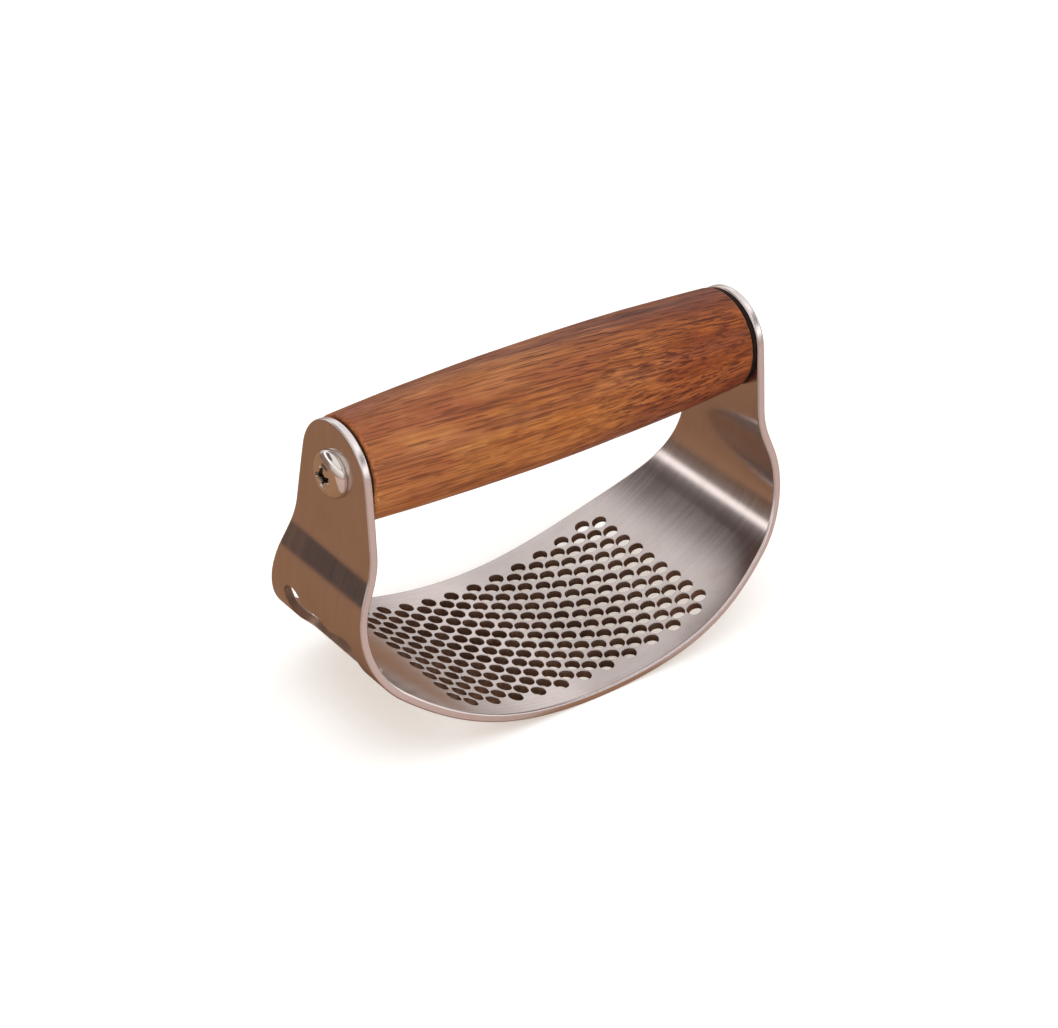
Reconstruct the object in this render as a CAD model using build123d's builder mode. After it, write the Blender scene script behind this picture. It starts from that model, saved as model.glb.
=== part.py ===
from build123d import *
import math
import os

# Rocking garlic press: a perforated steel strip bent up into two ears, with a turned wooden
# handle between the ears. +X runs along the handle, +Z is up, and the origin is the middle of
# the faint flat under the strip, so the part stands on z = 0.

# strip
sheet = 1.8                # thickness of the strip
rocker_radius = 80.4       # inner radius of the middle of the rocking arc
rocker_angle = 13.0        # half the angle that this radius covers, degrees
haunch_radius = 65.7       # inner radius of the rocking arc beyond it
haunch_angle = 37.3        # slope where the rocking arc ends
flank_radius = 15.6        # inner radius of the bend up to the ear
flank_angle = 111.4        # slope where that bend ends, leaning back over the plate
flank_run = 3.5            # straight stretch after the bend
neck_radius = 17.6         # reverse bend that brings the ear upright, inner face
rest_depth = 0.2           # faint flat across the lowest line of the arc, where the part rests
ear_height = 65.0          # top of the ears above that flat
ear_radius = 10.2          # rounded top of the ear
ear_draft = 9.6            # slope of the strip's edges where they meet that round, degrees
foot_draft = 0.2           # inward slope of the strip's edges at the floor
edge_round = 0.5           # rounding along all the edges of the strip

# half widths of the strip at heights above the floor, from the middle to the ear
foot_half_width = 23.8
haunch_half_width = 19.1
haunch_height = 14.8
waist_half_width = 14.6
waist_height = 28.6

# perforation
hole_diameter = 3.0
column_pitch = 2.83        # along the arc, every second column is offset by half a row
column_reach = 11          # columns either side of the middle one
row_group = 6.0            # the rows repeat in groups of three
row_steps = (0.0, 2.08, 4.08)
row_shifts = (0.0, 0.18, 0.0)
row_groups = 6

# cap lifter slot in the left flank
slot_angle = 58.5          # slope of the strip at the middle of the slot
slot_length = 22.6         # across the strip
slot_top = 6.0             # above the middle, along the slope
slot_bottom = 6.0
slot_corner = 1.8
lobe_radius = 3.1          # notch that widens the far end upwards
lobe_offset = 8.2
lobe_rise = 4.9
tooth_steep = -0.6         # cap tooth on the upper side: foot of its steep side,
tooth_tip = (-3.0, -3.8)   # its blunt tip, and the foot of its long side
tooth_long = -7.5
tooth_height = 1.4
slot_reach = 4.0           # cut either side of the strip's middle surface

# screws and core rod
screw_height = ear_height - ear_radius
screw_diameter = 5.0
screw_clearance = 5.2      # hole in each ear
screw_reach = 14.0         # length under the head
screw_point = 0.6          # chamfer at the screw's tip
head_diameter = 9.5
head_height = 2.7
head_rim = 0.5             # straight side of the head below its dome
recess_span = 4.0
recess_width = 0.9
recess_depth = 1.7
recess_taper = 8.0
recess_turn = 6.0
rod_diameter = 8.0
tapping_depth = 15.0

# handle and end washers
left_gap = 0.6             # between the left end of the handle and its ear
right_gap = 1.0
handle_mid_radius = 11.85
handle_end_radius = 10.4
handle_edge = 0.9
handle_bore = 8.16
bore_chamfer = 0.5
washer_diameter = 19.6
washer_bore = 8.2
washer_play = 0.2          # what each washer leaves of its gap

os.makedirs("parts", exist_ok=True)


def bent_line(start, offset):
    """Half of the strip's side profile, at an offset outwards from the inner face."""
    rocker = JernArc(start, (1, 0), rocker_radius + offset, rocker_angle)
    haunch = JernArc(rocker @ 1, rocker % 1, haunch_radius + offset, haunch_angle - rocker_angle)
    flank = JernArc(haunch @ 1, haunch % 1, flank_radius + offset, flank_angle - haunch_angle)
    run = Line(flank @ 1, flank @ 1 + (flank % 1) * flank_run)
    neck = JernArc(run @ 1, run % 1, neck_radius - offset, 90 - flank_angle)
    return Line(neck @ 1, ((neck @ 1).X, ear_height))


def slope_point(angle, offset):
    """Point of the right half of the strip where its slope is angle, and that slope's normal."""
    first = math.radians(rocker_angle)
    second = math.radians(haunch_angle)
    turn = math.radians(angle)
    x = rocker_radius * math.sin(min(turn, first))
    z = sheet - rest_depth + rocker_radius * (1 - math.cos(min(turn, first)))
    if turn > first:
        x += haunch_radius * (math.sin(min(turn, second)) - math.sin(first))
        z += haunch_radius * (math.cos(first) - math.cos(min(turn, second)))
    if turn > second:
        x += flank_radius * (math.sin(turn) - math.sin(second))
        z += flank_radius * (math.cos(second) - math.cos(turn))
    return (x + offset * math.sin(turn), z - offset * math.cos(turn))


def hole_places():
    """One location for each hole, its axis square to the strip."""
    middle = (row_group * row_groups) / 2
    first_length = rocker_radius * math.radians(rocker_angle)
    places = []
    for column in range(-column_reach, column_reach + 1):
        for row in range(row_groups * 3 + 1):
            if (row + column) % 2:
                continue
            length = column * column_pitch + row_shifts[row % 3]
            if abs(length) <= first_length:
                angle = math.degrees(abs(length) / rocker_radius)
            else:
                angle = rocker_angle + math.degrees((abs(length) - first_length) / haunch_radius)
            side = math.copysign(1, length)
            x, z = slope_point(angle, sheet / 2)
            y = middle - row // 3 * row_group - row_steps[row % 3]
            places.append(Location((side * x, y, z), (0, -side * angle, 0)))
    return places


# rocker plate: side profile of the bent strip, cut to its outline as seen from the end
with BuildPart() as rocker_plate:
    with BuildSketch(Plane.XZ):
        with BuildLine():
            inner_ear = bent_line((0, sheet - rest_depth), 0)
            outer_ear = bent_line((0, -rest_depth), sheet)
            Line((0, -rest_depth), (0, sheet - rest_depth))
            Line(inner_ear @ 1, outer_ear @ 1)
        make_face()
        mirror(about=Plane.YZ)
    extrude(amount=foot_half_width, both=True)
    with BuildSketch(Plane.YZ):
        with BuildLine():
            draft = math.radians(ear_draft)
            crown_start = (ear_radius * math.cos(draft), screw_height + ear_radius * math.sin(draft))
            Line((0, -rest_depth), (foot_half_width, -rest_depth))
            Line((foot_half_width, -rest_depth), (foot_half_width, sheet - rest_depth))
            Spline(
                (foot_half_width, sheet - rest_depth),
                (haunch_half_width, haunch_height),
                (waist_half_width, waist_height),
                crown_start,
                tangents=[(-foot_draft, 1), (-math.tan(draft), 1)],
            )
            RadiusArc((0, ear_height), crown_start, ear_radius)
            Line((0, ear_height), (0, -rest_depth))
        make_face()
        mirror(about=Plane.YZ)
    extrude(amount=2 * ear_height, both=True, mode=Mode.INTERSECT)
    rims = rocker_plate.edges().filter_by(Axis.Y, reverse=True)
    fillet(rims.filter_by(lambda rim: rim.length > 1.5 * sheet), edge_round)

    # perforation
    with Locations(*hole_places()):
        Cylinder(hole_diameter / 2, 3 * sheet, mode=Mode.SUBTRACT)

    # screw holes through both ears
    with BuildSketch(Plane.YZ):
        with Locations((0, screw_height)):
            Circle(screw_clearance / 2)
    extrude(amount=2 * ear_height, both=True, mode=Mode.SUBTRACT)

    # cap lifter slot, with a notch at its far end and a tooth on its upper side
    slot_x, slot_z = slope_point(slot_angle, sheet / 2)
    slot_turn = math.radians(slot_angle)
    slot_plane = Plane(
        origin=(-slot_x, 0, slot_z),
        x_dir=(0, 1, 0),
        z_dir=(math.sin(slot_turn), 0, math.cos(slot_turn)),
    )
    with BuildSketch(slot_plane):
        with Locations((0, (slot_top - slot_bottom) / 2)):
            RectangleRounded(slot_length, slot_top + slot_bottom, slot_corner)
        with Locations((lobe_offset, lobe_rise)):
            Circle(lobe_radius)
        with BuildLine():
            Polyline(
                (tooth_steep, slot_top),
                (tooth_tip[0], slot_top - tooth_height),
                (tooth_tip[1], slot_top - tooth_height),
                (tooth_long, slot_top),
                close=True,
            )
        make_face(mode=Mode.SUBTRACT)
    extrude(amount=slot_reach, both=True, mode=Mode.SUBTRACT)

    # faint flat under the middle of the arc
    with BuildSketch(Plane.XY):
        Rectangle(foot_half_width, 4 * foot_half_width)
    extrude(amount=-sheet, mode=Mode.SUBTRACT)
rocker_plate.part.label = "rocker_plate"
export_step(rocker_plate.part, "parts/rocker_plate.step")

ear_inner_x = (inner_ear @ 1).X
ear_outer_x = ear_inner_x + sheet
handle_left = left_gap - ear_inner_x
handle_right = ear_inner_x - right_gap
handle_middle = (handle_left + handle_right) / 2
screw_axis = Axis((0, 0, screw_height), (1, 0, 0))

# handle: barrel turned from wood, bored through for the core rod
with BuildPart() as handle:
    with BuildSketch(Plane((0, 0, screw_height), x_dir=(1, 0, 0), z_dir=(0, -1, 0))):
        with BuildLine():
            barrel = ThreePointArc(
                (handle_left, handle_end_radius),
                (handle_middle, handle_mid_radius),
                (handle_right, handle_end_radius),
            )
            Polyline(
                barrel @ 0,
                (handle_left, handle_bore / 2),
                (handle_right, handle_bore / 2),
                barrel @ 1,
            )
        make_face()
    revolve(axis=screw_axis)
    rims = handle.faces().filter_by(Axis.X).edges().group_by(SortBy.LENGTH)
    fillet(rims[-1], handle_edge)
    chamfer(rims[0], bore_chamfer)
handle.part.label = "handle"
export_step(handle.part, "parts/handle.step")

# core rod: holds the ears apart and carries the handle, tapped at both ends
with BuildPart() as core_rod:
    with BuildSketch(Plane.YZ):
        with Locations((0, screw_height)):
            Circle(rod_diameter / 2)
    extrude(amount=ear_inner_x, both=True)
    for side in (-1, 1):
        with BuildSketch(Plane((side * ear_inner_x, 0, screw_height), x_dir=(0, 1, 0), z_dir=(-side, 0, 0))):
            Circle(screw_diameter / 2)
        extrude(amount=tapping_depth, mode=Mode.SUBTRACT)
core_rod.part.label = "core_rod"
export_step(core_rod.part, "parts/core_rod.step")


def build_screw(side, name):
    """Pan head screw with a cross recess, through the ear on that side."""
    seat = (side * ear_outer_x, 0, screw_height)
    crown = (side * (ear_outer_x + head_height), 0, screw_height)
    with BuildPart() as screw:
        with BuildSketch(Plane(seat, x_dir=(0, 0, 1), z_dir=(0, side, 0))):
            with BuildLine():
                dome = EllipticalCenterArc(
                    (0, head_rim), head_diameter / 2, head_height - head_rim, start_angle=0, arc_size=90
                )
                Polyline(
                    dome @ 0,
                    (head_diameter / 2, 0),
                    (screw_diameter / 2, 0),
                    (screw_diameter / 2, screw_point - screw_reach),
                    (screw_diameter / 2 - screw_point, -screw_reach),
                    (0, -screw_reach),
                    dome @ 1,
                )
            make_face()
        revolve(axis=screw_axis)
        with BuildSketch(Plane(crown, x_dir=(0, 1, 0), z_dir=(side, 0, 0))):
            Rectangle(recess_span, recess_width, rotation=recess_turn)
            Rectangle(recess_span, recess_width, rotation=recess_turn + 90)
        extrude(amount=-recess_depth, taper=recess_taper, mode=Mode.SUBTRACT)
    screw.part.label = name
    export_step(screw.part, f"parts/{name}.step")


def build_washer(side, gap, name):
    """Black washer in the gap between one ear and the end of the handle."""
    with BuildPart() as washer:
        with BuildSketch(Plane((side * ear_inner_x, 0, screw_height), x_dir=(0, 1, 0), z_dir=(-side, 0, 0))):
            Circle(washer_diameter / 2)
            Circle(washer_bore / 2, mode=Mode.SUBTRACT)
        extrude(amount=gap - washer_play)
    washer.part.label = name
    export_step(washer.part, f"parts/{name}.step")


build_screw(-1, "screw_left")
build_screw(1, "screw_right")
build_washer(-1, left_gap, "end_washer_left")
build_washer(1, right_gap, "end_washer_right")
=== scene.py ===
import math

import bpy
from mathutils import Matrix, Vector, noise
from mathutils.geometry import delaunay_2d_cdt
from mathutils.kdtree import KDTree


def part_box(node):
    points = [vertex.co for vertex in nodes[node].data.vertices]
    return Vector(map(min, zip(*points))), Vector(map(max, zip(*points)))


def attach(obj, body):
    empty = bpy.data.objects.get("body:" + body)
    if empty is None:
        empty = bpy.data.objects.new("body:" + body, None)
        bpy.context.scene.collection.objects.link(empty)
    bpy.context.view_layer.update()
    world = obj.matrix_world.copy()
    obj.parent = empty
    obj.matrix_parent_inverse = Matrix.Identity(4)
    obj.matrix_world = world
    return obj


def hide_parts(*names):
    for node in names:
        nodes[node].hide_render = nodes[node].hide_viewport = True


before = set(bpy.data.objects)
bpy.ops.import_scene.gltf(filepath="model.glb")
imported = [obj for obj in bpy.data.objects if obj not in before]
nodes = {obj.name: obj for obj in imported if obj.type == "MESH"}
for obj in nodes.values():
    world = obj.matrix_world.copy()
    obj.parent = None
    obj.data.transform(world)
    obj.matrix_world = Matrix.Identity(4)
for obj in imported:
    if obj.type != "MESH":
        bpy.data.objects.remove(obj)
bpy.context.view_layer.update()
scene = bpy.context.scene
mm = 0.001

# ---------------------------------------------------------------- sizes

# strip: bends of its side profile from the middle outwards, radii of its inner face
sheet = 1.8 * mm
rocker_radius = 80.4 * mm
rocker_slope = math.radians(13.0)      # where each stretch ends
haunch_radius = 65.7 * mm
haunch_slope = math.radians(37.3)
flank_radius = 15.6 * mm
flank_slope = math.radians(111.4)
flank_run = 3.5 * mm
neck_radius = 17.6 * mm
edge_round = 0.5 * mm
ear_hole = 2.6 * mm                    # radius of the screw's hole in each ear
rest_depth = 0.2 * mm                  # faint flat across the lowest line, on which the part stands
tight_row = 0.7 * mm                   # between rows of the faces' own points, in tight bends
open_row = 1.6 * mm                    # and elsewhere
row_points = 20                        # steps across each row
spare_gap = 0.45 * mm                  # least distance of the faces' own points from any edge
outline_steps = 150                    # along each side of the strip's outline, up to the round ear
ear_steps = 40                         # round the top of each ear
ear_hole_sides = 36

# half widths of the strip against height, with the outline's slope there, up to the round ear
plate_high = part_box("rocker_plate")[1]
ear_height = plate_high.z
ear_radius = 10.2 * mm
ear_draft = math.radians(9.6)
ear_centre = ear_height - ear_radius
outline = (
    (sheet - rest_depth, plate_high.y, -0.0035),
    (14.8 * mm, 19.1 * mm, -0.4556),
    (28.6 * mm, 14.6 * mm, -0.2277),
    (ear_centre + ear_radius * math.sin(ear_draft), ear_radius * math.cos(ear_draft), -math.tan(ear_draft)),
)

# perforation
hole_radius = 1.5 * mm
hole_sides = 24
hole_lip = 0.16 * mm                   # rounding at both ends of each hole
column_pitch = 2.83 * mm
column_reach = 11                      # columns each side of the middle one
row_group = 6.0 * mm                   # three rows
row_steps = (0.0, 2.08 * mm, 4.08 * mm)
row_shifts = (0.0, 0.18 * mm, 0.0)     # of each row along the strip
row_groups = 6

# cap lifter slot in the left flank: across the strip, and up its slope from the middle
slot_slope = math.radians(58.5)
slot_half = 11.3 * mm
slot_rise = 6.0 * mm
slot_corner = 1.8 * mm
slot_lip = 0.22 * mm
slot_step = 0.7 * mm                   # longest side of its outline
slot_corner_steps = 8
lobe_steps = 20
lobe_radius = 3.1 * mm
lobe_rise = 4.9 * mm
tooth = ((-0.6 * mm, 6.0 * mm), (-3.0 * mm, 4.6 * mm), (-3.8 * mm, 4.6 * mm), (-7.5 * mm, 6.0 * mm))

# handle, washers and screws
axis_height = ear_centre
handle_low, handle_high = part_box("handle")
handle_middle = (handle_low.x + handle_high.x) / 2
handle_half = (handle_high.x - handle_low.x) / 2
handle_mid_radius = handle_high.z - axis_height
handle_end_radius = 10.4 * mm
handle_edge = 0.9 * mm
handle_bore = 4.08 * mm
bore_chamfer = 0.5 * mm
handle_sides = 144
barrel_steps = 150
handle_edge_steps = 8
flat_end_step = 1.5 * mm
handle_hollow = 0.16 * mm              # unevenness left by hand turning, its mean about half of this
long_waves = (45, 60, 60)              # swells of the unevenness per metre along each axis
short_waves = (120, 150, 150)
washer_bore = 4.1 * mm
washer_edge = 0.18 * mm
washer_sides = 96
washer_edge_steps = 4
head_rim = 0.5 * mm                    # upright rim under the head's dome
head_under = 0.1 * mm                  # chamfer of the rim's lower edge
head_grid = 96                         # squares along each side of the head's grid
shank_radius = 2.5 * mm
shank_root = 0.2 * mm                  # cone between head and shank
shank_undercut = 0.1 * mm
plain_shank = 2.2 * mm                 # from the seat of the head to the first thread
shank_point = 0.6 * mm                 # chamfer at the shank's end
thread_rows = 110
thread_pitch = 0.8 * mm
thread_depth = 0.45 * mm
recess_half = 2.0 * mm
recess_width = 0.9 * mm
recess_depth = 1.5 * mm
recess_core = 1.2 * recess_width       # radius of the recess's round middle
recess_rise = 0.25                     # how much shallower it is at the ends of its arms
recess_edge = 0.22 * mm
recess_turn = math.radians(6.0)

# ---------------------------------------------------------------- meshes


def new_piece(name, vertices, faces, material, body, stands_for):
    """A smooth-shaded mesh that rides on a body and stands for one CAD node."""
    mesh = bpy.data.meshes.new(name)
    mesh.from_pydata(vertices, [], faces)
    mesh.shade_smooth()
    mesh.materials.append(material)
    piece = bpy.data.objects.new(name, mesh)
    scene.collection.objects.link(piece)
    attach(piece, body)
    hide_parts(stands_for)
    return piece


def arc(centre, radius, start, end, steps):
    """Points of an arc in a plane, angles in degrees, both ends included."""
    points = []
    for step in range(steps + 1):
        angle = math.radians(start + (end - start) * step / steps)
        points.append((centre[0] + radius * math.cos(angle), centre[1] + radius * math.sin(angle)))
    return points


def circle(centre, radius, sides):
    """Corners of a clockwise circle in a plane."""
    return arc(centre, radius, 360, 360 / sides, sides - 1)


def refined(loop, step):
    """The closed loop with points added so that none of its sides is longer than step."""
    points = []
    for (ax, ay), (bx, by) in zip(loop, loop[1:] + loop[:1]):
        count = max(1, math.ceil(math.hypot(bx - ax, by - ay) / step))
        points += [(ax + (bx - ax) * i / count, ay + (by - ay) * i / count) for i in range(count)]
    return points


def turned(section, count):
    """Vertices and faces of a closed section turned about the handle's axis.

    Its points (x, radius) run towards +X on the outside."""
    vertices = []
    for turn in range(count):
        angle = 2 * math.pi * turn / count
        for x, radius in section:
            vertices.append((x, radius * math.cos(angle), axis_height + radius * math.sin(angle)))
    faces = []
    size = len(section)
    for turn in range(count):
        here, beyond = turn * size, (turn + 1) % count * size
        for i in range(size):
            j = (i + 1) % size
            faces.append((here + i, beyond + i, beyond + j, here + j))
    return vertices, faces


# ---------------------------------------------------------------- strip


def strip_stretches():
    """Half the side profile at mid sheet: each stretch's length and the angle it turns through."""
    half = sheet / 2
    return [
        ((rocker_radius + half) * rocker_slope, rocker_slope),
        ((haunch_radius + half) * (haunch_slope - rocker_slope), haunch_slope - rocker_slope),
        ((flank_radius + half) * (flank_slope - haunch_slope), flank_slope - haunch_slope),
        (flank_run, 0.0),
        ((neck_radius - half) * (flank_slope - math.pi / 2), math.pi / 2 - flank_slope),
    ]


stretches = strip_stretches()


def mid_sheet(station):
    """Place (x, z) and slope of the middle of the sheet, at a distance along it from the middle."""
    x, z, slope = 0.0, sheet / 2 - rest_depth, 0.0
    left = abs(station)
    for length, turn in stretches + [(math.inf, 0.0)]:
        run = min(left, length)
        if turn:
            radius = length / turn
            end = slope + run / radius
            x += radius * (math.sin(end) - math.sin(slope))
            z += radius * (math.cos(slope) - math.cos(end))
            slope = end
        else:
            x += run * math.cos(slope)
            z += run * math.sin(slope)
        left -= run
        if left <= 0:
            break
    return math.copysign(x, station), z, math.copysign(slope, station)


def station_at_slope(slope):
    """Distance along the middle of the sheet to where the first three bends reach a slope."""
    station = 0.0
    reached = 0.0
    for length, turn in stretches[:3]:
        part = min(1.0, (slope - reached) / turn)
        station += length * part
        reached += turn * part
        if part < 1.0:
            break
    return station


ear_foot = sum(length for length, turn in stretches)
ear_foot_height = mid_sheet(ear_foot)[1]
ear_outer = mid_sheet(ear_foot)[0] + sheet / 2


def ear_station(height):
    """Distance along the sheet to a height on the straight ear."""
    return ear_foot + height - ear_foot_height


def half_width(height):
    """Half the strip's width at a height, below the round top of the ear."""
    if height <= outline[0][0]:
        return outline[0][1]
    for (z0, w0, m0), (z1, w1, m1) in zip(outline, outline[1:]):
        if height <= z1:
            span = z1 - z0
            t = (height - z0) / span
            rise = w1 - w0
            bend = m0 * span - rise
            other = rise - m1 * span
            return w0 + rise * t + t * (1 - t) * (bend * (1 - t) + other * t)
    return outline[-1][1]


def strip_outline():
    """The strip's outline laid flat, anticlockwise: distance along the strip, and across it."""
    side = []
    crown = ear_station(outline[-1][0])
    for i in range(outline_steps):
        station = crown * i / outline_steps
        side.append((station, half_width(mid_sheet(station)[1])))
    for i in range(ear_steps + 1):
        angle = ear_draft + (math.pi - 2 * ear_draft) * i / ear_steps
        side.append((
            ear_station(ear_centre) + ear_radius * math.sin(angle),
            ear_radius * math.cos(angle),
        ))
    right = side + [(s, -y) for s, y in reversed(side[1:outline_steps])]
    left = [(-s, -y) for s, y in right]
    return list(reversed(right + left))


def hole_loops():
    """The perforation laid flat: one clockwise circle for each hole."""
    loops = []
    first = rocker_radius * rocker_slope
    top_row = row_group * row_groups / 2
    for column in range(-column_reach, column_reach + 1):
        for row in range(3 * row_groups + 1):
            if (row + column) % 2:
                continue
            length = column * column_pitch + row_shifts[row % 3]
            slope = abs(length) / rocker_radius
            if abs(length) > first:
                slope = rocker_slope + (abs(length) - first) / haunch_radius
            centre = math.copysign(station_at_slope(slope), length)
            across = top_row - row // 3 * row_group - row_steps[row % 3]
            loops.append(circle((centre, across), hole_radius, hole_sides))
    return loops


def slot_loop(depth):
    """The cap lifter slot laid flat at a depth in the sheet, clockwise."""
    rim = slot_rise
    side = slot_half - slot_corner
    drop = slot_corner - slot_rise
    reach = math.degrees(math.asin((rim - lobe_rise) / lobe_radius))
    flat = arc((-side, drop), slot_corner, 180, 270, slot_corner_steps)
    flat += arc((side, drop), slot_corner, 270, 360, slot_corner_steps)
    flat += arc((slot_half - lobe_radius, lobe_rise), lobe_radius, 0, 180 - reach, lobe_steps)
    flat += list(tooth)
    flat += arc((-side, -drop), slot_corner, 90, 180, slot_corner_steps)
    middle = station_at_slope(slot_slope)
    bend = flank_radius + depth
    loop = []
    for across, rise in refined(flat, slot_step):
        loop.append((-middle - (flank_radius + sheet / 2) * math.asin(rise / bend), across))
    return list(reversed(loop))


def void_directions(loop):
    """Unit direction out of the metal at each point of a loop that keeps the metal on its left."""
    directions = []
    for before, after in zip(loop[-1:] + loop[:-1], loop[1:] + loop[:1]):
        along = Vector((after[0] - before[0], after[1] - before[1])).normalized()
        directions.append(Vector((along.y, -along.x)))
    return directions


def rim_rings(lip, steps, wall_steps):
    """Rings of a rounded cut edge: how far each lies back from the edge, its depth, and its tilt.

    The tilt is 0 on the inner face, a quarter turn on the wall and half a turn on the outer face."""
    rings = []
    for step in range(steps + 1):
        tilt = math.pi / 2 * step / steps
        rings.append((lip * (1 - math.sin(tilt)), lip * (1 - math.cos(tilt)), tilt))
    for step in range(1, wall_steps):
        rings.append((0.0, lip + (sheet - 2 * lip) * step / wall_steps, math.pi / 2))
    for back, depth, tilt in reversed(rings[:steps + 1]):
        rings.append((back, sheet - depth, math.pi - tilt))
    return rings


class Strip:
    """Collects the bent strip's vertices, normals and faces from shapes laid flat."""

    def __init__(self):
        self.vertices = []
        self.normals = []
        self.flat = []                         # each vertex's place in the flat strip
        self.rim = []                          # how far it is on a cut edge, from 0 to 1
        self.faces = []
        self.wall = []                         # whether each face is a punched wall, which gets the painted shade
        self.borders = {0.0: [], sheet: []}    # loops that bound the inner and the outer face

    def point(self, station, across, depth, tilt, void, rim):
        """Adds a vertex at a place in the flat strip and a depth from its inner face."""
        x, z, slope = mid_sheet(station)
        out = Vector((math.sin(slope), 0, -math.cos(slope)))
        along = Vector((math.cos(slope), 0, math.sin(slope)))
        place = Vector((x, across, z)) + out * (depth - sheet / 2)
        place.z = max(0.0, place.z)            # the faint flat that the part stands on
        self.vertices.append(place)
        sideways = along * void.x + Vector((0, void.y, 0))
        self.normals.append(-out * math.cos(tilt) + sideways * math.sin(tilt))
        self.flat.append((station, across))
        self.rim.append(rim)
        return len(self.vertices) - 1

    def edge(self, loop_at, rings, is_wall, shine):
        """Adds a cut edge: rings of vertices from the inner face over the wall to the outer face."""
        ring_ids = []
        for back, depth, tilt in rings:
            loop = loop_at(depth)
            ring = []
            for (station, across), void in zip(loop, void_directions(loop)):
                ring.append(self.point(
                    station - void.x * back, across - void.y * back, depth, tilt, void,
                    shine * math.sin(tilt),
                ))
            ring_ids.append(ring)
        for k, (ring, lower) in enumerate(zip(ring_ids, ring_ids[1:])):
            dark = is_wall and rings[k][2] == math.pi / 2 == rings[k + 1][2]
            for i in range(len(ring)):
                j = (i + 1) % len(ring)
                self.faces.append((ring[i], lower[i], lower[j], ring[j]))
                self.wall.append(dark)
        self.borders[0.0].append(ring_ids[0])
        self.borders[sheet].append(ring_ids[-1])

    def face(self, depth, spare):
        """Fills the inner or outer face between its borders, with spare points inside it."""
        places = []
        owners = []
        edges = []
        borders = []
        for number, border in enumerate(self.borders[depth]):
            first = len(places)
            borders.append([Vector(self.flat[v]) for v in border])
            places += borders[-1]
            owners += [(number, v) for v in border]
            edges += [(first + i, first + (i + 1) % len(border)) for i in range(len(border))]
        near = KDTree(len(places))
        for i, place in enumerate(places):
            near.insert(place.to_3d(), i)
        near.balance()
        for place in spare:
            _, nearest, gap = near.find(place.to_3d())
            number = owners[nearest][0]
            if gap > spare_gap and not (number and encloses(borders[number], place)):
                places.append(place)
        grown = [place / mm for place in places]
        same_place = 1e-5                      # millimetres
        points, _, triangles, sources, _, _ = delaunay_2d_cdt(grown, edges, [], 1, same_place)
        tilt = 0.0 if depth == 0.0 else math.pi
        on_border = [owners[min(source)] if min(source) < len(owners) else None for source in sources]
        ids = [known[1] if known else None for known in on_border]
        for triangle in triangles:
            numbers = {on_border[v][0] if on_border[v] else None for v in triangle}
            number = numbers.pop()
            if number and not numbers:
                middle = sum((points[v] for v in triangle), Vector((0, 0))) / 3
                if encloses(borders[number], middle * mm):
                    continue
            for v in triangle:
                if ids[v] is None:
                    station, across = points[v] * mm
                    ids[v] = self.point(station, across, depth, tilt, Vector((0, 0)), 0.0)
            corners = [ids[v] for v in triangle]
            self.faces.append(tuple(corners if depth == 0.0 else reversed(corners)))
            self.wall.append(False)


def encloses(loop, place):
    """True if a place is inside a closed loop."""
    inside = False
    for a, b in zip(loop, loop[1:] + loop[:1]):
        if (a.y > place.y) != (b.y > place.y):
            if place.x < a.x + (b.x - a.x) * (place.y - a.y) / (b.y - a.y):
                inside = not inside
    return inside


def spare_points():
    """Rows of points across the strip, closer together where it bends tighter."""
    stations = [0.0]
    end = ear_station(ear_height)
    tight_from = station_at_slope(haunch_slope)
    while stations[-1] < end:
        tight = tight_from < stations[-1] < ear_foot
        stations.append(stations[-1] + (tight_row if tight else open_row))
    spare = []
    for row, station in enumerate(stations):
        width = half_width(mid_sheet(station)[1]) - edge_round
        if station > ear_station(ear_centre):
            width = math.sqrt(max(0, ear_radius**2 - (station - ear_station(ear_centre)) ** 2)) - edge_round
        if width < edge_round:
            continue
        for column in range(row_points + 1):
            across = width * (2 * column / row_points - 1)
            spare.append(Vector((station, across)))
            if row:
                spare.append(Vector((-station, across)))
    return spare


def build_plate(steel, wall_painted_shade):
    """The bent perforated strip."""
    strip = Strip()
    flat_outline = strip_outline()
    rings = rim_rings(edge_round, steps=5, wall_steps=2)
    strip.edge(lambda depth: flat_outline, rings, is_wall=False, shine=1.0)
    rings = rim_rings(hole_lip, steps=2, wall_steps=2)
    for loop in hole_loops():
        strip.edge(lambda depth, loop=loop: loop, rings, is_wall=True, shine=0.7)
    rings = rim_rings(hole_lip, steps=2, wall_steps=1)
    for side in (-1, 1):
        loop = circle((side * ear_station(axis_height), 0), ear_hole, ear_hole_sides)
        strip.edge(lambda depth, loop=loop: loop, rings, is_wall=True, shine=0.5)
    strip.edge(slot_loop, rim_rings(slot_lip, steps=3, wall_steps=3), is_wall=True, shine=0.7)
    spare = spare_points()
    strip.face(0.0, spare)
    strip.face(sheet, spare)
    piece = new_piece("plate", strip.vertices, strip.faces, steel, "rocker", "rocker_plate")
    mesh = piece.data
    # the punched walls of the holes and the slot take the painted shade
    mesh.materials.append(wall_painted_shade)
    mesh.polygons.foreach_set("material_index", [int(dark) for dark in strip.wall])
    flat_map = mesh.uv_layers.new(name="strip")
    for loop in mesh.loops:
        flat_map.data[loop.index].uv = strip.flat[loop.vertex_index]
    rim = mesh.attributes.new("rim", "FLOAT", "POINT")
    rim.data.foreach_set("value", strip.rim)
    mesh.normals_split_custom_set_from_vertices([n.normalized() for n in strip.normals])
    return piece


# ---------------------------------------------------------------- handle, washers and screws


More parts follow.
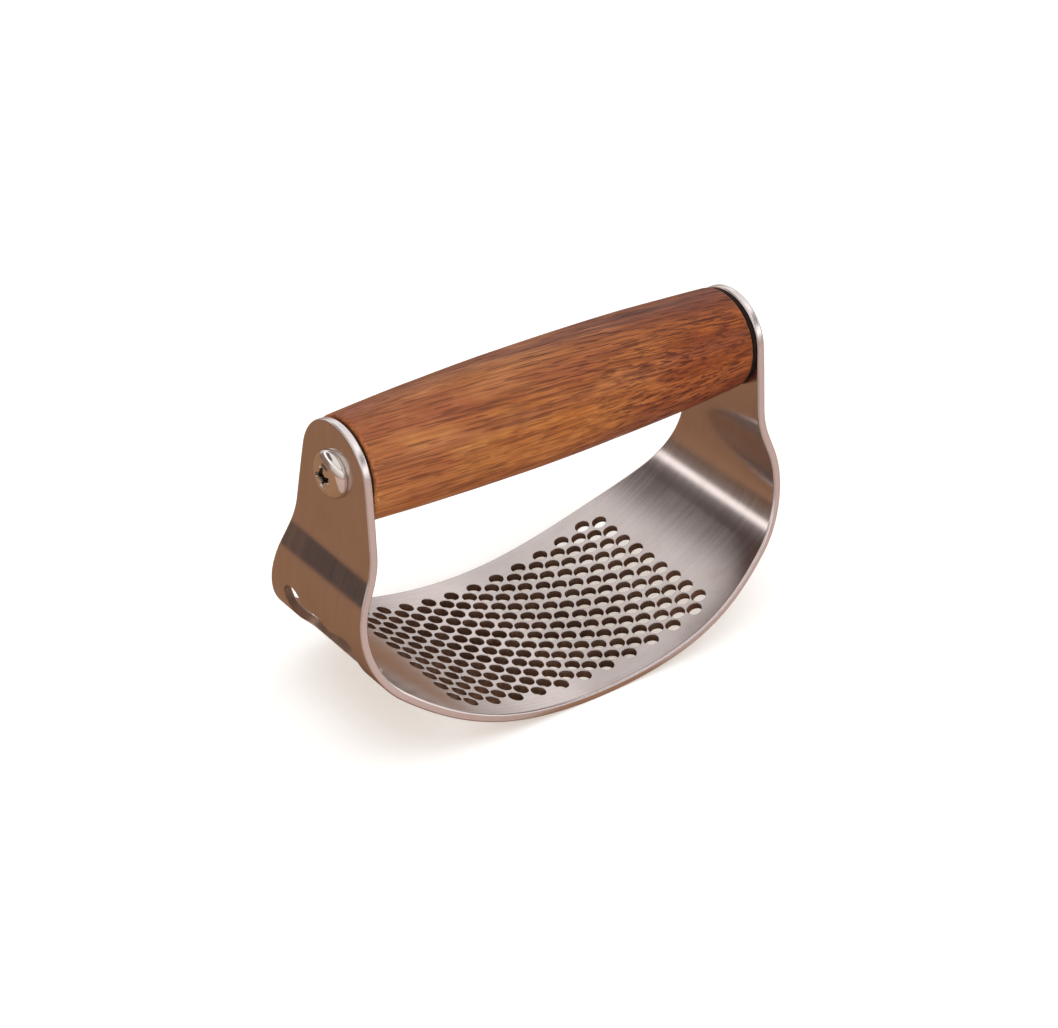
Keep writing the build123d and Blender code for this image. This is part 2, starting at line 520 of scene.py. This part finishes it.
def barrel_section():
    """Section of the handle: turned outside, rounded ends, flat ends and chamfered bore."""
    rise = handle_mid_radius - handle_end_radius
    bow = (handle_half**2 + rise**2) / (2 * rise)
    section = []
    reach = handle_half - handle_edge
    for i in range(barrel_steps + 1):
        x = reach * (2 * i / barrel_steps - 1)
        section.append((x, handle_mid_radius - bow + math.sqrt(bow**2 - x**2)))
    edge_centre = section[-1][1] - handle_edge
    section += arc((reach, edge_centre), handle_edge, 90, 0, handle_edge_steps)[1:]
    bore_mouth = [(handle_half, handle_bore + bore_chamfer), (handle_half - bore_chamfer, handle_bore)]
    flat_end = refined([section[-1], bore_mouth[0]], flat_end_step)
    section += flat_end[1:len(flat_end) // 2]
    section += bore_mouth
    section += [(-x, radius) for x, radius in reversed(bore_mouth)]
    section += arc((-reach, edge_centre), handle_edge, 180, 90, handle_edge_steps)[:-1]
    return [(handle_middle + x, radius) for x, radius in section]


def swell(place, waves):
    """Smooth noise at a place, with so many waves per metre along each axis."""
    return noise.noise(Vector([value * count for value, count in zip(place, waves)]))


def build_handle(wood):
    """The wooden handle, its outside left slightly uneven, always inwards."""
    vertices, faces = turned(barrel_section(), handle_sides)
    uneven_from = 0.75 * handle_end_radius
    fade = 0.2 * handle_end_radius
    uneven = []
    for x, y, z in vertices:
        radius = math.hypot(y, z - axis_height)
        outer = min(1.0, max(0.0, (radius - uneven_from) / fade))
        waves = 0.75 * swell((x, y, z), long_waves) + 0.25 * swell((x, y, z), short_waves)
        hollow = handle_hollow * outer * (0.5 + waves)
        scale = 1 - max(0.0, hollow) / radius
        uneven.append((x, y * scale, axis_height + (z - axis_height) * scale))
    return new_piece("wooden_handle", uneven, faces, wood, "handle", "handle")


def build_washer(node, name, black):
    """A flat ring with rounded edges between one ear and the handle."""
    low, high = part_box(node)
    outer = high.y
    section = []
    for (x, radius), start in (
        ((high.x - washer_edge, outer - washer_edge), 0),
        ((low.x + washer_edge, outer - washer_edge), 90),
        ((low.x + washer_edge, washer_bore + washer_edge), 180),
        ((high.x - washer_edge, washer_bore + washer_edge), 270),
    ):
        section += arc((x, radius), washer_edge, start, start + 90, washer_edge_steps)
    vertices, faces = turned(list(reversed(section)), washer_sides)
    return new_piece(name, vertices, faces, black, "rocker", node)


def cross_depth(across, up):
    """How deep the cross recess is at a place on the screw's head, from 0 to 1."""
    turned_place = Matrix.Rotation(recess_turn, 2) @ Vector((across, up))
    a, b = abs(turned_place.x), abs(turned_place.y)
    arms = min(
        max(a - recess_half, b - recess_width / 2),
        max(b - recess_half, a - recess_width / 2),
    )
    core = math.hypot(a, b) - recess_core
    inside = min(1.0, max(0.0, 0.5 - min(arms, core) / recess_edge))
    return inside * inside * (3 - 2 * inside)


def head_places(count):
    """A square grid of places mapped evenly onto a disc of radius 1."""
    places = []
    for i in range(count + 1):
        for j in range(count + 1):
            a, b = 2 * i / count - 1, 2 * j / count - 1
            if a == b == 0:
                places.append((0.0, 0.0))
                continue
            share = max(abs(a), abs(b)) / math.hypot(a, b)
            places.append((a * share, b * share))
    return places


def grid_border(count):
    """Numbers of the points round the border of a square grid."""
    side = count + 1
    border = [i * side for i in range(count)]
    border += [count * side + j for j in range(count)]
    border += [i * side + count for i in range(count, 0, -1)]
    border += [j for j in range(count, 0, -1)]
    return border


def head_dome(radius, drop):
    """The head's dome seen from outside: each point (depth, across, up), and its share of recess."""
    points = []
    recess = []
    for across, up in head_places(head_grid):
        place = math.hypot(across, up)
        reach = radius * math.sin(math.pi / 2 * place)
        fall = drop * (1 - math.cos(math.pi / 2 * place))
        across, up = (v * reach / max(place, 1e-9) for v in (across, up))
        recess.append(cross_depth(across, up))
        depth = recess_depth * recess[-1] * (1 - recess_rise * reach / recess_half)
        points.append((fall + max(0.0, depth), across, up))
    return points, recess


def shank_radius_at(along, first, angle):
    """Radius of the threaded shank at a distance from the crown and an angle round the axis."""
    phase = 2 * math.pi * along / thread_pitch - angle
    fade = min(1.0, (along - first) / thread_pitch)
    return shank_radius - thread_depth * fade * (0.5 - 0.5 * math.cos(phase))


def screw_rings(head_radius, head_height, length):
    """Rings from the head's rim to the shank's end: radius at an angle, and distance from the crown."""
    rings = [
        (lambda angle: head_radius, head_height - head_under),
        (lambda angle: head_radius - head_under, head_height),
        (lambda angle: shank_radius + shank_root, head_height),
        (lambda angle: shank_radius - shank_undercut, head_height + shank_root),
    ]
    first = head_height + plain_shank
    for row in range(thread_rows + 1):
        along = first + (length - shank_point - first) * row / thread_rows
        rings.append((lambda angle, along=along: shank_radius_at(along, first, angle), along))
    rings.append((lambda angle: shank_radius - shank_point, length))
    return rings


def build_screw(node, name, side, steel):
    """A pan head screw with a softened cross recess and a threaded shank."""
    low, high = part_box(node)
    crown = high.x if side > 0 else low.x
    tip = low.x if side > 0 else high.x
    head_height = abs(crown - side * ear_outer)
    dome, recess = head_dome(high.y, head_height - head_rim)
    vertices = [(crown - side * depth, across, axis_height + up) for depth, across, up in dome]
    faces = []
    for i in range(head_grid):
        for j in range(head_grid):
            corner = i * (head_grid + 1) + j
            faces.append((corner, corner + 1, corner + head_grid + 2, corner + head_grid + 1))
    ring = grid_border(head_grid)
    angles = [math.atan2(vertices[v][2] - axis_height, vertices[v][1]) for v in ring]
    for radius, along in screw_rings(high.y, head_height, abs(tip - crown)):
        lower = []
        for angle in angles:
            across, up = radius(angle) * math.cos(angle), radius(angle) * math.sin(angle)
            lower.append(len(vertices))
            vertices.append((crown - side * along, across, axis_height + up))
        for i in range(len(ring)):
            j = (i + 1) % len(ring)
            faces.append((ring[i], ring[j], lower[j], lower[i]))
        ring = lower
    vertices.append((tip, 0, axis_height))
    faces += [(ring[i], ring[(i + 1) % len(ring)], len(vertices) - 1) for i in range(len(ring))]
    if side > 0:
        faces = [face[::-1] for face in faces]
    piece = new_piece(name, vertices, faces, steel, "rocker", node)
    piece.data.set_sharp_from_angle(angle=math.radians(50))
    # depth of the cross recess, which the steel darkens as painted shade
    painted_recess_shade = piece.data.attributes.new("recess", "FLOAT", "POINT")
    painted_recess_shade.data.foreach_set("value", recess + [0.0] * (len(vertices) - len(recess)))
    return piece


# ---------------------------------------------------------------- materials


def graph(name):
    """A new node material: its tree and its Principled shader."""
    material = bpy.data.materials.new(name)
    material.use_nodes = True
    return material, material.node_tree, material.node_tree.nodes["Principled BSDF"]


def feed(tree, sockets, inputs):
    """Sets a node's sockets to values, or links them to other nodes' outputs."""
    for name, value in inputs.items():
        if isinstance(value, bpy.types.NodeSocket):
            tree.links.new(value, sockets[name])
        else:
            sockets[name].default_value = value


def add(tree, kind, inputs, **settings):
    """A new node with its settings and inputs."""
    made = tree.nodes.new("ShaderNode" + kind)
    for name, value in settings.items():
        setattr(made, name, value)
    feed(tree, made.inputs, inputs)
    return made


def place(tree, scale, turn=(0, 0, 0)):
    """Object coordinates, turned and then stretched."""
    here = add(tree, "TexCoord", {}).outputs["Object"]
    rolled = add(tree, "Mapping", {"Vector": here, "Rotation": turn}).outputs["Vector"]
    return add(tree, "Mapping", {"Vector": rolled, "Scale": scale}).outputs["Vector"]


def grain(tree, where, detail=2.0, rough=0.5, bent=0.0):
    """Noise over a place, from 0 to 1."""
    inputs = {"Vector": where, "Scale": 1.0, "Detail": detail, "Roughness": rough, "Distortion": bent}
    return add(tree, "TexNoise", inputs).outputs["Fac"]


def attribute(tree, name):
    """A number that the mesh carries at its vertices."""
    return add(tree, "Attribute", {}, attribute_name=name).outputs["Fac"]


def spread(tree, value, low, high, to_low, to_high):
    """A value mapped smoothly from one range to another, held at its ends."""
    inputs = {"Value": value, "From Min": low, "From Max": high, "To Min": to_low, "To Max": to_high}
    return add(tree, "MapRange", inputs, interpolation_type="SMOOTHSTEP").outputs["Result"]


def sums(tree, operation, first, second):
    """One step of arithmetic."""
    return add(tree, "Math", {0: first, 1: second}, operation=operation).outputs["Value"]


def mixed(tree, share, low, high, blend="MIX"):
    """Two colours mixed."""
    made = add(tree, "Mix", {}, data_type="RGBA", blend_type=blend)
    sockets = {socket.name: socket for socket in made.inputs if socket.enabled}
    feed(tree, sockets, {"Factor": share, "A": low, "B": high})
    return [socket for socket in made.outputs if socket.enabled][0]


def bumped(tree, height, strength, distance):
    """A normal from a height."""
    inputs = {"Height": height, "Strength": strength, "Distance": distance}
    return add(tree, "Bump", inputs).outputs["Normal"]


def brushed_steel(name, flat_map):
    """Stainless steel brushed along the strip, with faint smudges, and its cut outer edges painted paler as
    a highlight.
    """
    material, tree, shader = graph(name)
    dark, light = (0.605, 0.541, 0.524, 1), (0.688, 0.619, 0.601, 1)
    stained, hazy = (0.56, 0.48, 0.45, 1), (0.70, 0.66, 0.63, 1)
    cut = (0.84, 0.785, 0.77, 1)
    lines = grain(tree, place(tree, (22, 4200, 22)), 3.0, 0.65)
    broad = grain(tree, place(tree, (10, 900, 10)), 2.0, 0.5)
    smudge = grain(tree, place(tree, (110, 150, 110)), 4.0, 0.65)
    haze = grain(tree, place(tree, (45, 60, 45), (0.5, 0.3, 0.7)), 3.0, 0.6)
    streak = sums(tree, "ADD", sums(tree, "MULTIPLY", lines, 0.75), sums(tree, "MULTIPLY", broad, 0.25))
    tint = mixed(tree, spread(tree, streak, 0.3, 0.7, 0, 1), dark, light)
    tint = mixed(tree, spread(tree, smudge, 0.45, 0.75, 0, 0.4), tint, stained)
    tint = mixed(tree, spread(tree, haze, 0.45, 0.75, 0, 0.4), tint, hazy)
    # painted highlight: the walls of the strip's outer cut edge are made paler, and a little rougher
    wall = spread(tree, attribute(tree, "rim"), 0.8, 1.0, 0, 1)
    tint = mixed(tree, wall, tint, cut)
    satin = spread(tree, streak, 0.3, 0.7, 0.155, 0.195)
    satin = sums(tree, "ADD", satin, spread(tree, smudge, 0.4, 0.8, 0, 0.04))
    satin = sums(tree, "ADD", satin, sums(tree, "MULTIPLY", wall, 0.06))
    along = add(tree, "Tangent", {}, direction_type="UV_MAP", uv_map=flat_map).outputs["Tangent"]
    feed(tree, shader.inputs, {
        "Base Color": tint,
        "Metallic": 1.0,
        "Roughness": satin,
        "Anisotropic": 0.6,
        "Anisotropic Rotation": 0.25,
        "Tangent": along,
        "Normal": bumped(tree, lines, 0.06, 0.02 * mm),
    })
    return material


def painted_shade_steel(name):
    """Painted shade on the punched walls of the holes and the slot: dull, dark brown torn metal."""
    material, tree, shader = graph(name)
    # painted shade: dark browns that stand in for the shade and dark reflections inside the holes
    dark, light, stained = (0.20, 0.122, 0.086, 1), (0.40, 0.270, 0.200, 1), (0.12, 0.070, 0.048, 1)
    tear = grain(tree, place(tree, (1500, 1500, 350)), 3.0, 0.6)
    tone_shift = grain(tree, place(tree, (160, 160, 160)), 2.0, 0.5)
    tint = mixed(tree, tear, dark, light)
    tint = mixed(tree, spread(tree, tone_shift, 0.4, 0.7, 0, 0.6), tint, stained)
    feed(tree, shader.inputs, {
        "Base Color": tint,
        "Metallic": 0.8,
        "Roughness": spread(tree, tear, 0.3, 0.7, 0.38, 0.6),
        "Normal": bumped(tree, tear, 0.5, 0.03 * mm),
    })
    return material


def wood_ground(tree, askew):
    """The wood's broad colours: bands along the grain, redder patches and golden clouds."""
    dark, light = (0.235, 0.064, 0.017, 1), (0.425, 0.150, 0.032, 1)
    red, golden = (0.310, 0.082, 0.032, 1), (0.58, 0.245, 0.078, 1)
    bands = grain(tree, place(tree, (6, 110, 300), askew), 3.0, 0.55, 0.4)
    patch = grain(tree, place(tree, (26, 50, 50)), 2.0, 0.5)
    clouds = grain(tree, place(tree, (60, 120, 120)), 3.0, 0.6)
    tint = mixed(tree, spread(tree, bands, 0.36, 0.64, 0, 1), dark, light)
    tint = mixed(tree, spread(tree, patch, 0.42, 0.66, 0, 0.7), tint, red)
    return mixed(tree, spread(tree, clouds, 0.42, 0.68, 0, 0.45), tint, golden), patch


def turned_wood(name):
    """Oiled reddish-brown hardwood, its grain a little askew of the handle and denser towards +X, with a
    painted highlight near the -X end.
    """
    material, tree, shader = graph(name)
    askew = (math.radians(24), math.radians(-2.5), math.radians(4.0))
    fibre_brown, line_brown = (0.16, 0.041, 0.012, 1), (0.11, 0.027, 0.010, 1)
    pore_brown = (0.085, 0.021, 0.009, 1)
    painted_highlight_tint, tone_shift = (1.12, 1.38, 1.38, 1), (0.78, 0.59, 0.44, 1)
    fibres = grain(tree, place(tree, (34, 1900, 1900), askew), 3.0, 0.7, 0.3)
    pores = grain(tree, place(tree, (130, 2600, 2600), askew), 1.0, 0.5)
    lines = grain(tree, place(tree, (26, 1100, 1500), askew), 3.0, 0.6, 0.4)
    here = add(tree, "SeparateXYZ", {"Vector": place(tree, (1, 1, 1))}).outputs
    along, height = here["X"], here["Z"]
    dense = spread(tree, along, -0.035, 0.025, 0.58, 1.0)
    tint, patch = wood_ground(tree, askew)
    fibre = sums(tree, "MULTIPLY", spread(tree, fibres, 0.38, 0.62, 0, 0.75), dense)
    tint = mixed(tree, fibre, tint, fibre_brown)
    # painted highlight: a paler band at one height, full at the -X end and fading out towards the middle
    pale = sums(
        tree, "MULTIPLY",
        spread(tree, height, 0.048, 0.055, 0, 1), spread(tree, height, 0.060, 0.065, 1, 0),
    )
    pale = sums(tree, "MULTIPLY", pale, spread(tree, along, -0.038, -0.010, 1, 0))
    tint = mixed(tree, pale, tint, painted_highlight_tint, "MULTIPLY")
    line = sums(tree, "MULTIPLY", spread(tree, lines, 0.53, 0.63, 0, 0.85), dense)
    tint = mixed(tree, line, tint, line_brown)
    pore = sums(tree, "MULTIPLY", spread(tree, pores, 0.56, 0.62, 0, 0.9), dense)
    pore = sums(tree, "MULTIPLY", pore, spread(tree, patch, 0.3, 0.6, 0.35, 1.0))
    tint = mixed(tree, pore, tint, pore_brown)
    # darker and redder towards +X
    tint = mixed(tree, spread(tree, along, 0.0, 0.035, 0, 1), tint, tone_shift, "MULTIPLY")
    oiled = spread(tree, fibres, 0.3, 0.7, 0.34, 0.45)
    relief = sums(tree, "SUBTRACT", sums(tree, "MULTIPLY", fibres, 0.35), pore)
    feed(tree, shader.inputs, {
        "Base Color": tint,
        "Roughness": sums(tree, "ADD", oiled, sums(tree, "MULTIPLY", pore, 0.3)),
        "Specular IOR Level": 0.30,
        "Normal": bumped(tree, relief, 0.18, 0.04 * mm),
    })
    return material


def polished_steel(name, rough_low, rough_high):
    """Turned or pressed steel with faint marks, and painted shade in the screws' recesses."""
    material, tree, shader = graph(name)
    dark, light = (0.76, 0.71, 0.66, 1), (0.90, 0.85, 0.80, 1)
    scratched, recess_shade_colour = (0.50, 0.45, 0.41, 1), (0.045, 0.032, 0.026, 1)
    marks = grain(tree, place(tree, (900, 900, 900)), 3.0, 0.6)
    tone_shift = grain(tree, place(tree, (180, 180, 180)), 2.0, 0.5)
    tint = mixed(tree, tone_shift, dark, light)
    tint = mixed(tree, spread(tree, marks, 0.6, 0.75, 0, 0.3), tint, scratched)
    # painted shade: the cross recess darkened to near black, and made rougher
    painted_recess_shade = spread(tree, attribute(tree, "recess"), 0.1, 0.7, 0, 1)
    tint = mixed(tree, painted_recess_shade, tint, recess_shade_colour)
    shine = spread(tree, marks, 0.3, 0.7, rough_low, rough_high)
    feed(tree, shader.inputs, {
        "Base Color": tint,
        "Metallic": 1.0,
        "Roughness": sums(tree, "ADD", shine, sums(tree, "MULTIPLY", painted_recess_shade, 0.4)),
        "Normal": bumped(tree, marks, 0.15, 0.02 * mm),
    })
    return material


def black_fibre(name):
    """Matt black washer, a little scuffed."""
    material, tree, shader = graph(name)
    dark, light, scuffed = (0.005, 0.003, 0.0025, 1), (0.013, 0.008, 0.006, 1), (0.022, 0.014, 0.010, 1)
    speckle = grain(tree, place(tree, (2200, 2200, 2200)), 2.0, 0.6)
    scuff = grain(tree, place(tree, (260, 260, 260)), 2.0, 0.5)
    tint = mixed(tree, speckle, dark, light)
    tint = mixed(tree, spread(tree, scuff, 0.55, 0.8, 0, 0.4), tint, scuffed)
    feed(tree, shader.inputs, {
        "Base Color": tint,
        "Roughness": spread(tree, scuff, 0.3, 0.7, 0.6, 0.8),
        "Specular IOR Level": 0.2,
        "Normal": bumped(tree, speckle, 0.3, 0.02 * mm),
    })
    return material


# ---------------------------------------------------------------- pieces

screw_steel = polished_steel("screw_steel", rough_low=0.07, rough_high=0.14)
black = black_fibre("washer_black")

build_plate(brushed_steel("strip_steel", flat_map="strip"), painted_shade_steel("painted_shade_steel"))
build_handle(turned_wood("handle_wood"))
build_washer("end_washer_left", "washer_left", black)
build_washer("end_washer_right", "washer_right", black)
build_screw("screw_left", "pan_screw_left", -1, screw_steel)
build_screw("screw_right", "pan_screw_right", 1, screw_steel)

core_rod = nodes["core_rod"].data
core_rod.materials.clear()
core_rod.materials.append(polished_steel("rod_steel", rough_low=0.25, rough_high=0.38))

# ---------------------------------------------------------------- floor and surroundings

unlit = (0, 0, 0, 1)
floor_half = 3.0
floor_height = -0.02 * mm
cloth_height = -0.05 * mm
cloth_half = 0.6
cloth_near = -0.8
cloth_far = -0.026
table_height = -0.1 * mm
rail_near = Vector((-0.250, 0.106, 0.003))
rail_far = Vector((-0.194, 0.166, 0.003))
rail_rise = Vector((0, 0, 0.026))


def stage_card(name, corners, colour, glow, faces=((0, 1, 2, 3),)):
    """A card that isn't part of the object, of one colour, with a glow of another."""
    mesh = bpy.data.meshes.new(name)
    mesh.from_pydata(corners, [], faces)
    card = bpy.data.objects.new(name, mesh)
    scene.collection.objects.link(card)
    material, tree, shader = graph(name)
    feed(tree, shader.inputs, {
        "Base Color": colour,
        "Roughness": 0.9,
        "Specular IOR Level": 0.1,
        "Emission Color": glow,
        "Emission Strength": 1.0,
    })
    mesh.materials.append(material)
    return card


def level_card(left, right, near, far, height):
    """Corners of a level rectangle, anticlockwise from above."""
    return [(left, near, height), (right, near, height), (right, far, height), (left, far, height)]


def level_square(half, height):
    """Corners of a level square around the object."""
    return level_card(-half, half, -half, half, height)


def seen_directly_only(card):
    """Keeps a card out of reflections and out of the light."""
    card.visible_glossy = False
    card.visible_diffuse = False
    card.visible_shadow = False


def not_seen_directly(card):
    """Leaves a card in reflections and takes it out of the picture itself."""
    card.visible_camera = False
    card.visible_shadow = False


def build_floor():
    """What the camera sees round the object: a pale floor and a white backdrop."""
    floor = level_square(floor_half, floor_height)
    seen_directly_only(stage_card("floor", floor, (0.72, 0.79, 0.84, 1), (0.44, 0.375, 0.315, 1)))
    walls = level_square(floor_half, 0.0) + level_square(floor_half, 2 * floor_half)
    faces = ((0, 1, 5, 4), (1, 2, 6, 5), (2, 3, 7, 6), (3, 0, 4, 7), (4, 5, 6, 7))
    seen_directly_only(stage_card("backdrop", walls, unlit, (1, 1, 1, 1), faces))


def build_surroundings():
    """What the object reflects: a wooden table, a dark rail behind its left ear, a pale cloth."""
    table = level_square(floor_half, table_height)
    not_seen_directly(stage_card("tabletop", table, (0.335, 0.188, 0.108, 1), unlit))
    rail_corners = [rail_near, rail_far, rail_far + rail_rise, rail_near + rail_rise]
    rail = stage_card("rail", rail_corners, (0.070, 0.075, 0.090, 1), unlit)
    not_seen_directly(rail)
    rail.visible_diffuse = False
    cloth = level_card(-cloth_half, cloth_half, cloth_near, cloth_far, cloth_height)
    not_seen_directly(stage_card("cloth", cloth, (0.55, 0.42, 0.38, 1), unlit))


# ---------------------------------------------------------------- light and camera

# studio light at elevations in degrees, on three sides of the object
open_side = (
    (0, (0.42, 0.36, 0.33)), (5, (0.62, 0.58, 0.56)), (31, (1.10, 1.07, 1.06)),
    (37, (0.71, 0.69, 0.68)), (48, (0.90, 0.88, 0.87)), (90, (0.92, 0.90, 0.89)),
)
back_left = (
    (0, (0.22, 0.15, 0.11)), (15, (0.27, 0.21, 0.19)), (21, (1.80, 1.73, 1.70)),
    (23, (1.80, 1.73, 1.70)), (29, (0.20, 0.17, 0.17)), (47, (0.08, 0.06, 0.055)),
    (52, (0.86, 0.83, 0.82)), (90, (0.92, 0.90, 0.89)),
)
front = (
    (0, (0.40, 0.34, 0.32)), (8, (0.45, 0.42, 0.41)), (14, (1.75, 1.70, 1.68)),
    (22, (1.75, 1.70, 1.68)), (29, (0.20, 0.18, 0.19)), (43, (0.20, 0.18, 0.19)),
    (51, (1.60, 1.56, 1.54)), (62, (0.92, 0.90, 0.89)),
)
# bearings in degrees from +X towards +Y: where a side begins, is full, begins to fade and ends
back_left_bearings = (97, 112, 152, 174)
front_bearings = (-95, -78, -12, 8)

camera_azimuth = math.radians(-39.30)    # of the view, from +Y towards +X
camera_elevation = math.radians(32.69)
camera_roll = math.radians(3.2)
camera_distance = 0.5598
camera_aim = Vector((0.0, 0.0017, 0.0283))
camera_lens = 97.99
camera_sensor = 36


def elevation_ramp(tree, height, stops):
    """Light against elevation in degrees, as a ramp over the height of the direction."""
    made = add(tree, "ValToRGB", {"Fac": height})
    made.color_ramp.interpolation = "EASE"
    ends = made.color_ramp.elements
    for i, (degrees, colour) in enumerate(stops):
        at = math.sin(math.radians(degrees))
        stop = ends[i] if i < 2 else ends.new(at)
        stop.position = at
        stop.color = (*colour, 1)
    return made.outputs["Color"]


def bearing_share(tree, bearing, bearings):
    """How far a bearing belongs to one side, from 0 to 1."""
    begins, full, fades, ends = (math.radians(degrees) for degrees in bearings)
    entering = spread(tree, bearing, begins, full, 0, 1)
    return sums(tree, "MULTIPLY", entering, spread(tree, bearing, fades, ends, 1, 0))


def light_studio():
    """Soft studio light all round: bright from above, with low soft boxes in front and back left."""
    world = bpy.data.worlds.new("studio")
    scene.world = world
    world.use_nodes = True
    tree = world.node_tree
    towards = add(tree, "TexCoord", {}).outputs["Generated"]
    parts = add(tree, "SeparateXYZ", {"Vector": towards}).outputs
    bearing = sums(tree, "ARCTAN2", parts["Y"], parts["X"])
    colour = elevation_ramp(tree, parts["Z"], open_side)
    for bearings, stops in ((back_left_bearings, back_left), (front_bearings, front)):
        share = bearing_share(tree, bearing, bearings)
        colour = mixed(tree, share, colour, elevation_ramp(tree, parts["Z"], stops))
    feed(tree, tree.nodes["Background"].inputs, {"Color": colour, "Strength": 1.0})


def soft_lamp(name, place, size, energy):
    """A broad soft lamp facing the object, which shows in no reflection."""
    data = bpy.data.lights.new(name, "AREA")
    data.shape = "DISK"
    data.size = size
    data.energy = energy
    lamp = bpy.data.objects.new(name, data)
    lamp.location = place
    lamp.rotation_euler = Vector(place).to_track_quat("Z", "Y").to_euler()
    lamp.visible_glossy = False
    scene.collection.objects.link(lamp)


def aim_camera():
    """The camera at the photograph's viewing angle."""
    data = bpy.data.cameras.new("camera")
    data.sensor_width = camera_sensor
    data.lens = camera_lens
    camera = bpy.data.objects.new("camera", data)
    scene.collection.objects.link(camera)
    look = Vector((
        -math.sin(camera_azimuth) * math.cos(camera_elevation),
        math.cos(camera_azimuth) * math.cos(camera_elevation),
        -math.sin(camera_elevation),
    ))
    turn = look.to_track_quat("-Z", "Y").to_matrix()
    roll = Matrix.Rotation(camera_roll, 3, "Z")
    camera.matrix_world = Matrix.Translation(camera_aim - look * camera_distance) @ (turn @ roll).to_4x4()
    scene.camera = camera


build_floor()
build_surroundings()
light_studio()
soft_lamp("ceiling", place=(-0.2, -0.1, 1.5), size=1.6, energy=4)
soft_lamp("low_front", place=(-0.75, -0.9, 0.18), size=0.8, energy=9)
scene.view_settings.view_transform = "Standard"
aim_camera()
